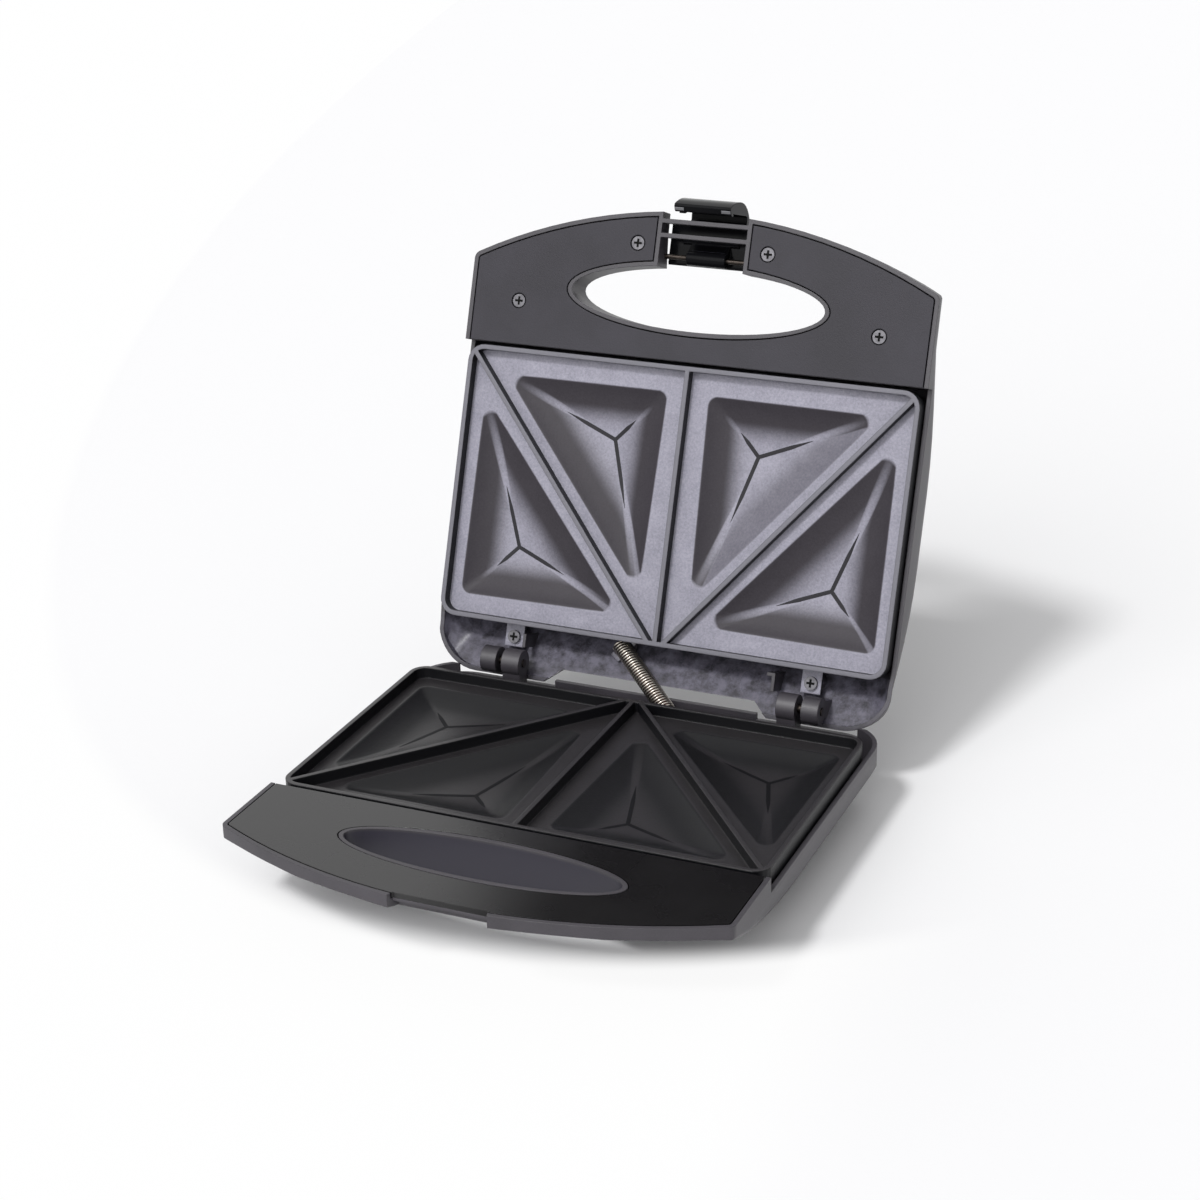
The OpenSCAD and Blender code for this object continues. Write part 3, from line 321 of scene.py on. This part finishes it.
# Plate colours: land, land2, then painted shade for side walls, rim tops and pocket slopes.
UPPER_PLATE = plate_mat("upper_plate_coating", True, (0.300, 0.291, 0.352), (0.185, 0.181, 0.226),
                        (0.010, 0.010, 0.012), (0.105, 0.103, 0.12), (0.025, 0.0215, 0.026),
                        0.42, 0.4)
LOWER_PLATE = plate_mat("lower_plate_coating", False, (0.022, 0.020, 0.022), (0.013, 0.012, 0.013),
                        (0.004, 0.004, 0.005), (0.022, 0.020, 0.022), (0.007, 0.007, 0.008),
                        0.28, 0.25, 0.5)
SCREW = metal("screw_steel", (0.095, 0.093, 0.101), (0.155, 0.152, 0.163), 0.5)
PIN = metal("pin_steel", (0.030, 0.025, 0.022), (0.050, 0.042, 0.037), 0.4)
SPRING = metal("spring_steel", (0.40, 0.365, 0.33), (0.54, 0.50, 0.45), 0.3)
HEATER = metal("heater_steel", (0.16, 0.13, 0.11), (0.30, 0.26, 0.24), 0.45)
SHEET = metal("reflector_sheet", (0.62, 0.63, 0.64), (0.74, 0.75, 0.76), 0.25)
CAN = metal("fuse_metal", (0.55, 0.55, 0.57), (0.68, 0.68, 0.70), 0.3)
RED = plastic("red_lens", (0.42, 0.02, 0.012), (0.52, 0.03, 0.018), (0.08, 0.12), 0.02)
GREEN = plastic("green_lens", (0.02, 0.26, 0.06), (0.03, 0.34, 0.08), (0.08, 0.12), 0.02)
GLASS = Mat("lamp_glass").set(color=(0.95, 0.85, 0.75), trans=1.0, rough=0.03, ior=1.45)
GLASS.bump(GLASS.noise(300, 2), 0.03)

LOOKS = {
    "lower_housing": HOUSING, "upper_housing": LID_HOUSING, "lower_handle_cover": LOWER_COVER,
    "upper_handle_cover": UPPER_COVER, "lower_cover_screws": SCREW, "upper_cover_screws": SCREW,
    "lower_plate_screws": SCREW, "upper_plate_screws": SCREW, "lower_plate": LOWER_PLATE,
    "upper_plate": UPPER_PLATE, "lower_heater": HEATER, "upper_heater": HEATER,
    "lower_reflector": SHEET, "upper_reflector": SHEET, "feet": RUBBER, "cord_gland": RUBBER,
    "terminal_block": OFFWHITE, "hinge_pins": PIN, "latch_pin": PIN, "conduit_spring": SPRING,
    "conduit_leads": SLEEVE, "thermostat": OFFWHITE, "thermal_fuse": CAN, "power_lens": RED,
    "ready_lens": GREEN, "neon_lamps": GLASS, "latch": LATCH,
}


def soft_shading(sharp_angle):
    """Modifier tree: smooth shading, with sharp edges above an angle (radians)."""
    t = bpy.data.node_groups.new("soft_shading", "GeometryNodeTree")
    for way in ("INPUT", "OUTPUT"):
        t.interface.new_socket("Geometry", in_out=way, socket_type="NodeSocketGeometry")
    start, end = t.nodes.new("NodeGroupInput"), t.nodes.new("NodeGroupOutput")
    weld = t.nodes.new("GeometryNodeMergeByDistance")
    weld.inputs["Distance"].default_value = 0.000002
    faces = t.nodes.new("GeometryNodeSetShadeSmooth")
    edges = t.nodes.new("GeometryNodeSetShadeSmooth")
    edges.domain = "EDGE"
    edges.inputs["Shade Smooth"].default_value = False
    angle = t.nodes.new("GeometryNodeInputMeshEdgeAngle")
    above = t.nodes.new("FunctionNodeCompare")
    above.operation = "GREATER_THAN"
    above.inputs[1].default_value = sharp_angle
    t.links.new(angle.outputs["Unsigned Angle"], above.inputs[0])
    t.links.new(above.outputs[0], edges.inputs["Selection"])
    for a, b in ((start, weld), (weld, faces), (faces, edges), (edges, end)):
        t.links.new(a.outputs[0], b.inputs[0])
    return t


SOFT = soft_shading(math.radians(32))
for name, obj in frame["nodes"].items():
    if name in ("upper_housing", "lower_housing", "latch"):
        obj.modifiers.new("soft_shading", "NODES").node_group = SOFT
        obj.modifiers.new("flat_faces", "WEIGHTED_NORMAL").keep_sharp = True
    for i in range(max(1, len(obj.material_slots))):
        if not obj.material_slots:
            obj.data.materials.append(LOOKS[name].m)
        else:
            obj.material_slots[i].material = LOOKS[name].m


# Pieces
def piece(name, verts, faces, mat, body=None, smooth=True):
    me = bpy.data.meshes.new(name)
    me.from_pydata([tuple(v) for v in verts], [], faces)
    me.update()
    if smooth:
        for p in me.polygons:
            p.use_smooth = True
    ob = bpy.data.objects.new(name, me)
    bpy.context.collection.objects.link(ob)
    ob.data.materials.append(mat.m)
    if body:
        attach(ob, body)
    return ob


# Conduit spring and leads, straight between their ends on the base and on the lid
BASE_END = base(0.012, 0.144, 0.012)
LID_END = lid(-0.020, 0.135, 0.013)
axis = (LID_END - BASE_END).normalized()
side = axis.cross(Vector((0, 0, 1))).normalized()
up = side.cross(axis)
mid = (LID_END + BASE_END) / 2


def tube(path, radius, sides):
    """Closed tube along a list of points, with rings square to the path."""
    verts, faces = [], []
    n = len(path)
    normal = None
    for i, p in enumerate(path):
        t = (path[min(i + 1, n - 1)] - path[max(i - 1, 0)]).normalized()
        if normal is None:
            normal = t.orthogonal().normalized()
        normal = (normal - t * normal.dot(t)).normalized()
        b = t.cross(normal)
        for k in range(sides):
            a = 2 * math.pi * k / sides
            verts.append(p + radius * (math.cos(a) * normal + math.sin(a) * b))
    for i in range(n - 1):
        for k in range(sides):
            a, b2 = i * sides + k, i * sides + (k + 1) % sides
            faces.append((a, b2, b2 + sides, a + sides))
    faces.append(tuple(range(sides - 1, -1, -1)))
    faces.append(tuple((n - 1) * sides + k for k in range(sides)))
    return verts, faces


TURNS, PITCH, COIL_R, WIRE_R, STEPS = 34, 0.001445, 0.00378, 0.00052, 20
coil = []
for i in range(TURNS * STEPS + 1):
    a = 2 * math.pi * i / STEPS
    coil.append(mid + COIL_R * (math.cos(a) * side + math.sin(a) * up)
                + axis * PITCH * (i / STEPS - TURNS / 2))
v, f = tube(coil, WIRE_R, 8)
spring = piece("conduit_coil", v, f, SPRING)
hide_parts("conduit_spring")
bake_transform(spring)
LEAD_R, LEAD_LENGTH, LEAD_TWIST = 0.0011, 0.0500, 1.6
leads_v, leads_f = [], []
for k in range(3):
    a = 2 * math.pi * k / 3 + 0.5
    path = []
    for i in range(41):
        tw = a + LEAD_TWIST * i / 40
        path.append(mid + 0.0014 * (math.cos(tw) * side + math.sin(tw) * up)
                    + axis * (LEAD_LENGTH * (i / 40 - 0.5)))
    v, f = tube(path, LEAD_R, 12)
    off = len(leads_v)
    leads_v += v
    leads_f += [tuple(j + off for j in face) for face in f]
leads = piece("lead_bundle", leads_v, leads_f, SLEEVE)
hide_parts("conduit_leads")
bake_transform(leads)


# Smooth pocket surfaces, with dark strips just above them as painted shade of the engraved Y marks
LAND, DEEP, CORNER = 5.5, 6.0, 3.8
POCKETS = [
    ([(102.7, 24.5), (103.6, 119.2), (21.5, 118.2)], (79, 94.5),
     [((78.7, 94.2), (88.6, 66)), ((78.7, 94.2), (88.6, 104.6)), ((78.7, 94.2), (53.5, 104.3))]),
    ([(10.5, 12.6), (92.5, 13), (13.1, 107.3)], (36, 37.6),
     [((35.9, 37.6), (61.5, 27.2)), ((35.9, 37.6), (26.3, 27.4)), ((35.9, 37.6), (26.6, 69))]),
]

POCKET_RINGS = (1.0, 0.975, 0.95, 0.91, 0.86, 0.8, 0.73, 0.66,
                0.58, 0.5, 0.42, 0.34, 0.26, 0.18, 0.1, 0.04)


def border(tri, grow, fine=5, run=10):
    """Rounded outline of a pocket, grown outwards (millimetres)."""
    out = []
    tri = [Vector(p) for p in tri]
    for k in range(3):
        p = tri[k]
        u, v = (tri[(k + 1) % 3] - p).normalized(), (tri[(k + 2) % 3] - p).normalized()
        half = math.acos(u.dot(v)) / 2
        mid_dir = (u + v).normalized()
        centre = p + mid_dir * (CORNER / math.sin(half))
        a0 = math.atan2(-mid_dir.y, -mid_dir.x)
        arc = []
        for i in range(-fine, fine + 1):
            a = a0 + (math.pi / 2 - half) * i / fine
            arc.append(centre + (CORNER + grow) * Vector((math.cos(a), math.sin(a))))
        if out:
            q = out[-1]
            out += [q.lerp(arc[0], i / run) for i in range(1, run)]
        out += arc
    q = out[-1]
    out += [q.lerp(out[0], i / run) for i in range(1, run)]
    return out


def share(t):
    return 0.25 * (1 - t) + 0.75 * (1 - t ** 3)


def pocket_z(tri_border, apex, p):
    """Depth of the smooth pocket at a point (millimetres)."""
    d = Vector(p) - Vector(apex)
    if d.length < 1e-6:
        return LAND + DEEP * share(0)
    best = 0.0
    n = len(tri_border)
    for i in range(n):
        a, b = tri_border[i] - Vector(apex), tri_border[(i + 1) % n] - Vector(apex)
        e = b - a
        det = d.x * e.y - d.y * e.x
        if abs(det) < 1e-12:
            continue
        r = (a.x * e.y - a.y * e.x) / det
        q = (a.x * d.y - a.y * d.x) / det
        if r > 0 and -1e-9 <= q <= 1 + 1e-9:
            best = r
            break
    return LAND + DEEP * share(min(1.0, 1 / best)) if best else LAND


def pockets(name, place, mat, groove_shade_mat, body):
    verts, faces, gv, gf = [], [], [], []
    for tri, apex, marks in POCKETS:
        b0 = border(tri, 0)
        rings = [(border(tri, 2.4), 1, LAND - 0.03), (border(tri, 1.0), 1, LAND - 0.08)]
        for t in POCKET_RINGS:
            rings.append((b0, t, LAND - 0.12 + DEEP * share(t)))
        for s in (1, -1):
            off = len(verts)
            n = len(b0)
            for pts, t, z in rings:
                for p in pts:
                    q = Vector(apex) + t * (p - Vector(apex))
                    verts.append(place(s * q.x / 1000, q.y / 1000, z / 1000))
            for i in range(len(rings) - 1):
                for j in range(n):
                    a, c = off + i * n + j, off + i * n + (j + 1) % n
                    quad = (a, c, c + n, a + n)
                    faces.append(quad if s > 0 else quad[::-1])
            tip = len(verts)
            verts.append(place(s * apex[0] / 1000, apex[1] / 1000, (LAND - 0.12 + DEEP) / 1000))
            last = off + (len(rings) - 1) * n
            for j in range(n):
                f = (last + j, last + (j + 1) % n, tip)
                faces.append(f if s > 0 else f[::-1])
            # Y marks: dark strips just above the pocket surface, painted shade of engraved grooves.
            for a, b in marks:
                a, b = Vector(a), Vector(b)
                d = (b - a).normalized()
                side_dir = Vector((-d.y, d.x))
                rows = 15
                off2 = len(gv)
                for i in range(rows + 1):
                    f = i / rows
                    w = 0.85 * min(1.0, 2.6 * (1 - f)) + 0.08
                    for k in (-1, -0.45, 0, 0.45, 1):
                        p = a + (b - a) * f + side_dir * (w * k)
                        z = pocket_z(b0, apex, p) - 0.20 - 0.05 * (1 - abs(k))
                        gv.append(place(s * p.x / 1000, p.y / 1000, z / 1000))
                for i in range(rows):
                    for k in range(4):
                        a2 = off2 + i * 5 + k
                        quad = (a2, a2 + 1, a2 + 6, a2 + 5)
                        gf.append(quad if s > 0 else quad[::-1])
    if place is lid:
        faces = [f[::-1] for f in faces]
        gf = [f[::-1] for f in gf]
    piece(name + "_pockets", verts, faces, mat, body)
    piece(name + "_marks", gv, gf, groove_shade_mat, body)


# Painted shade of the engraved Y marks.
GROOVE_SHADE = plastic("pocket_groove_shade", (0.016, 0.015, 0.018), (0.024, 0.023, 0.027),
                 (0.4, 0.5), 0.0, 0.0, 0.15)
GROOVE_SHADE_LOW = plastic("pocket_groove_shade_low", (0.003, 0.003, 0.004), (0.005, 0.005, 0.006),
                     (0.4, 0.5), 0.0, 0.0, 0.15)
pockets("upper", lid, UPPER_PLATE, GROOVE_SHADE, "lid")
pockets("lower", base, LOWER_PLATE, GROOVE_SHADE_LOW, "base")

# Dark plus shapes on the cross screws, painted shade of their recesses
RECESS_SHADE = plastic("screw_recess_shade", (0.003, 0.003, 0.003), (0.005, 0.005, 0.005),
                 (0.5, 0.6), 0.0, 0.0, 0.05)


def crosses(name, spots, place, body):
    """Plus-shaped dark inlays on the heads' faces, painted shade of the cross recesses, z towards the
    viewer.
    """
    verts, faces = [], []
    for x, y, z in spots:
        arm, w = 0.0019, 0.00052
        outline = [(arm, -w), (arm, w), (w, w), (w, arm), (-w, arm), (-w, w),
                   (-arm, w), (-arm, -w), (-w, -w), (-w, -arm), (w, -arm), (w, -w)]
        off = len(verts)
        for px, py in outline:
            verts.append(place(x + px, y + py, z - 0.00003))
        faces.append(tuple(range(off, off + 12)))
    return piece(name, verts, faces, RECESS_SHADE, body, smooth=False)


def lower_roof(x, y):
    """Depth of the lower handle's underside (metres), as in the part."""
    radius = (0.1145 ** 2 + 0.0278 ** 2) / (2 * 0.0278)
    k = (radius - math.sqrt(radius ** 2 - x ** 2)) / 0.1166
    t = ((y - k * 0.045) / (1 - k) + 0.0716) / 0.1166
    return 0.0055 + 0.0325 * (0.3 * t * t * (3 - 2 * t) + 0.7 * math.sin(t * math.pi / 2))


HEAD_SINK = 0.00156
COVER_SCREWS = [(s * x, y) for x, y in ((0.032, -0.0543), (0.089, -0.0223)) for s in (1, -1)]
crosses("upper_cover_crosses", [(x, y, 0.00045) for x, y in COVER_SCREWS], lid, "lid")
crosses("upper_plate_crosses", [(s * 0.075, 0.137, 0.0084) for s in (1, -1)], lid, "lid")
crosses("lower_plate_crosses", [(s * 0.075, 0.137, 0.0084) for s in (1, -1)], base, "base")
crosses("lower_cover_crosses", [(x, y, lower_roof(x, y) - HEAD_SINK) for x, y in COVER_SCREWS],
        base, "base")


# Latch details (slabs of painted reflection and highlight), about its pivot: y towards the hinge, z
# into the lid
def slab(name, corners, half_x, centre_x, lift, mat, body):
    """Raised pad on a latch face between two profile points (millimetres), here carrying painted
    reflection and highlights.
    """
    (y0, z0), (y1, z1) = corners
    d = Vector((y1 - y0, z1 - z0)).normalized()
    n = Vector((-d.y, d.x)) * lift
    verts, faces = [], []
    for cx in centre_x:
        off = len(verts)
        bevel = min(0.18, half_x / 4)
        for inset, h in ((0, 0.0), (0, 0.55), (bevel, 1.0)):
            for sx, t in ((-1, 0), (1, 0), (1, 1), (-1, 1)):
                y = y0 + (y1 - y0) * t + d.x * inset * (1 if t == 0 else -1)
                z = z0 + (z1 - z0) * t + d.y * inset * (1 if t == 0 else -1)
                verts.append(lid((cx + sx * (half_x - inset)) / 1000,
                                 (-50 + y + n.x * h) / 1000, (9 + z + n.y * h) / 1000))
        for r in (0, 4):
            for k in range(4):
                a, b = off + r + k, off + r + (k + 1) % 4
                faces.append((a, b, b + 4, a + 4))
        faces.append((off + 8, off + 9, off + 10, off + 11))
    return piece(name, verts, faces, mat, body, smooth=False)


# Painted reflection: a light violet grey slab on the lever face.
LEVER_REFLECTION = plastic("latch_painted_reflection", (0.20, 0.20, 0.27), (0.26, 0.26, 0.34), (0.35, 0.45), 0.02, 0.0)
# Painted highlights: light grey slabs on the hook's nose tips.
NOSE_HIGHLIGHT = plastic("latch_tip_highlight", (0.10, 0.10, 0.11), (0.14, 0.14, 0.15), (0.3, 0.4), 0.02, 0.0)
slab("latch_lever_painted_reflection", ((-3.7, -0.27), (-7.5, 2.68)), 7.9, (0,), -0.2, LEVER_REFLECTION, "latch")
nose_angle = math.radians(213.6)
nose = [(r * math.cos(nose_angle), r * math.sin(nose_angle)) for r in (24.6, 26.1)]
slab("latch_nose_highlights", nose, 2.2, (-11.4, 11.4), 0.25, NOSE_HIGHLIGHT, "latch")

# Stage and light
def stage_mat(name, value):
    """Pale floor, with painted light: a glow seen by camera and glossy rays lightens the shadow in a
    band in front of the handle.
    """
    m = Mat(name)
    m.set(color=(value, value, value * 1.01), rough=0.9, spec=0.1)
    # Painted light mask: a band in front of the handle, fading out towards the right.
    x, y = m.dot(m.co, (1, 0, 0)), m.dot(m.co, (0, 1, 0))
    from_middle = m.math("ADD", x, 0.035)
    arc = m.math("MULTIPLY", m.math("MULTIPLY", from_middle, from_middle), 2.0)
    ahead = m.step(m.math("SUBTRACT", arc, y), 0.108, 0.132)
    ahead = m.math("MULTIPLY", ahead, m.math("SUBTRACT", 1.0, m.step(x, 0.12, 0.20)))
    seen_by = m.node("ShaderNodeLightPath")
    direct = m.math("MAXIMUM", seen_by.outputs["Is Camera Ray"], seen_by.outputs["Is Glossy Ray"])
    painted_light = m.node("ShaderNodeEmission")
    painted_light.inputs["Color"].default_value = (1, 1, 1, 1)
    both = m.node("ShaderNodeMixShader")
    m.link(m.math("MULTIPLY", ahead, m.math("MULTIPLY", direct, 0.92)), both.inputs[0])
    m.link(m.bsdf.outputs[0], both.inputs[1])
    m.link(painted_light.outputs[0], both.inputs[2])
    m.link(both.outputs[0], m.t.nodes["Material Output"].inputs["Surface"])
    return m.m


bpy.ops.mesh.primitive_plane_add(size=14, location=(0, 0, -0.0002))
floor = bpy.context.object
floor.name = "floor"
floor.data.materials.append(stage_mat("floor_pale", 0.90))

world = bpy.data.worlds.new("world")
bpy.context.scene.world = world
world.use_nodes = True
wt = world.node_tree
bg = wt.nodes["Background"]
bg.inputs["Color"].default_value = (1.0, 1.0, 1.0, 1)
lp = wt.nodes.new("ShaderNodeLightPath")
seen = wt.nodes.new("ShaderNodeMath")
seen.operation = "MAXIMUM"
wt.links.new(lp.outputs["Is Camera Ray"], seen.inputs[0])
wt.links.new(lp.outputs["Is Glossy Ray"], seen.inputs[1])
mx = wt.nodes.new("ShaderNodeMath")
mx.operation = "MULTIPLY_ADD"
wt.links.new(seen.outputs[0], mx.inputs[0])
mx.inputs[1].default_value = 0.54
mx.inputs[2].default_value = 0.46
wt.links.new(mx.outputs[0], bg.inputs["Strength"])

for name, energy, angle, ahead in (("key", 1.62, 9, 0.8), ("softbox", 1.32, 50, 1.5)):
    sun_data = bpy.data.lights.new(name, "SUN")
    sun_data.energy = energy
    sun_data.angle = math.radians(angle)
    sun = bpy.data.objects.new(name, sun_data)
    bpy.context.collection.objects.link(sun)
    sun.rotation_euler = Vector((0.2, ahead, -1.0)).to_track_quat("-Z", "Y").to_euler()
